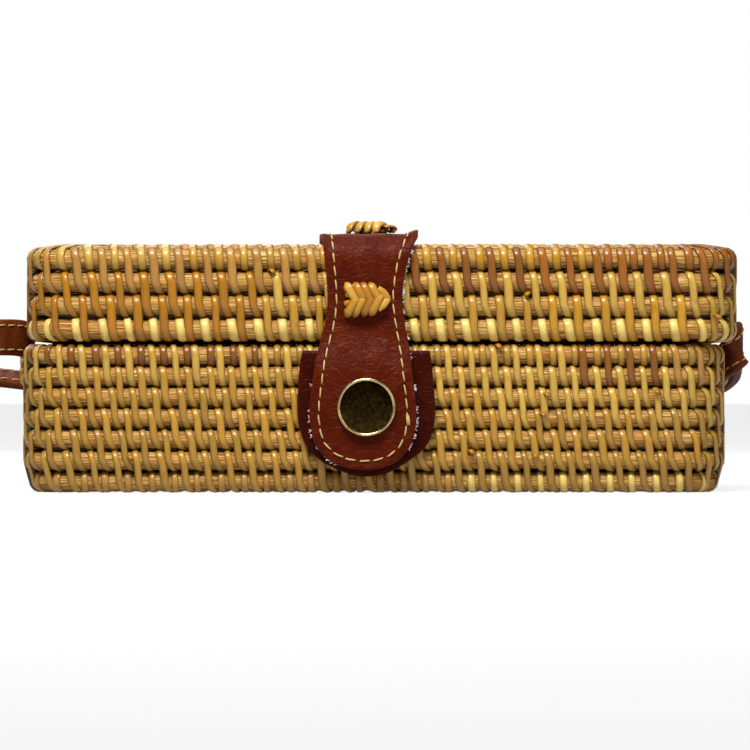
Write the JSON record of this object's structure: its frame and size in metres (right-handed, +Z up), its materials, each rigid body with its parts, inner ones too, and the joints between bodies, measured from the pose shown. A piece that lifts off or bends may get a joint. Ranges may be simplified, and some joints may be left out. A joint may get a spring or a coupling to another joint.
{
  "type": "basket box bag",
  "caption": "Rectangular woven rattan box bag with a hinged lid, a leather flap with a snap, and a leather shoulder strap.",
  "frame": {"origin": "centre of the lower basket's flat underside", "axes": "+Z up, -Y towards the front with the flap, +X to the right as seen from the front"},
  "size_m": [0.2619, 0.2644, 0.0766],
  "materials": {
    "rattan_weave": "split and whole rattan, satin varnish",
    "rattan_tie": "plaited split rattan, glossy varnish",
    "flap_leather": "red-brown grained leather with pale stitching",
    "tab_leather": "darker red-brown leather",
    "strap_leather": "brown leather, stitched along both edges",
    "snap_brass": "antique brass, polished",
    "lining_cloth": "plain woven cotton"
  },
  "bodies": {
    "base": {"base_basket": "rattan_weave", "base_lining": "lining_cloth", "backing_tab": "tab_leather", "tab_tie": "rattan_tie", "snap_stud": "snap_brass", "snap_stud_back": "snap_brass", "hinge_tie_left": "rattan_tie", "hinge_tie_right": "rattan_tie", "strap_tie_left": "rattan_tie", "strap_tie_right": "rattan_tie", "strap_left": "strap_leather", "strap_right": "strap_leather", "strap_coil": "strap_leather"},
    "lid": {"lid_basket": "rattan_weave", "lid_lining": "lining_cloth", "flap_upper": "flap_leather", "flap_front_tie": "rattan_tie", "flap_top_tie": "rattan_tie"},
    "flap": {"flap_tongue": "flap_leather", "snap_cap": "snap_brass", "snap_socket": "snap_brass"}
  },
  "joints": [
    {"name": "lid_hinge", "type": "hinge", "parent": "base", "child": "lid", "pos_m": [0, 0.0706, 0.04175], "axis": [-1, 0, 0], "range_deg": [0, 105], "deforming": ["hinge_tie_left", "hinge_tie_right"]},
    {"name": "flap_hinge", "type": "hinge", "parent": "lid", "child": "flap", "pos_m": [-0.0026, -0.0725, 0.047], "axis": [-1, 0, 0], "range_deg": [0, 100]}
  ]
}
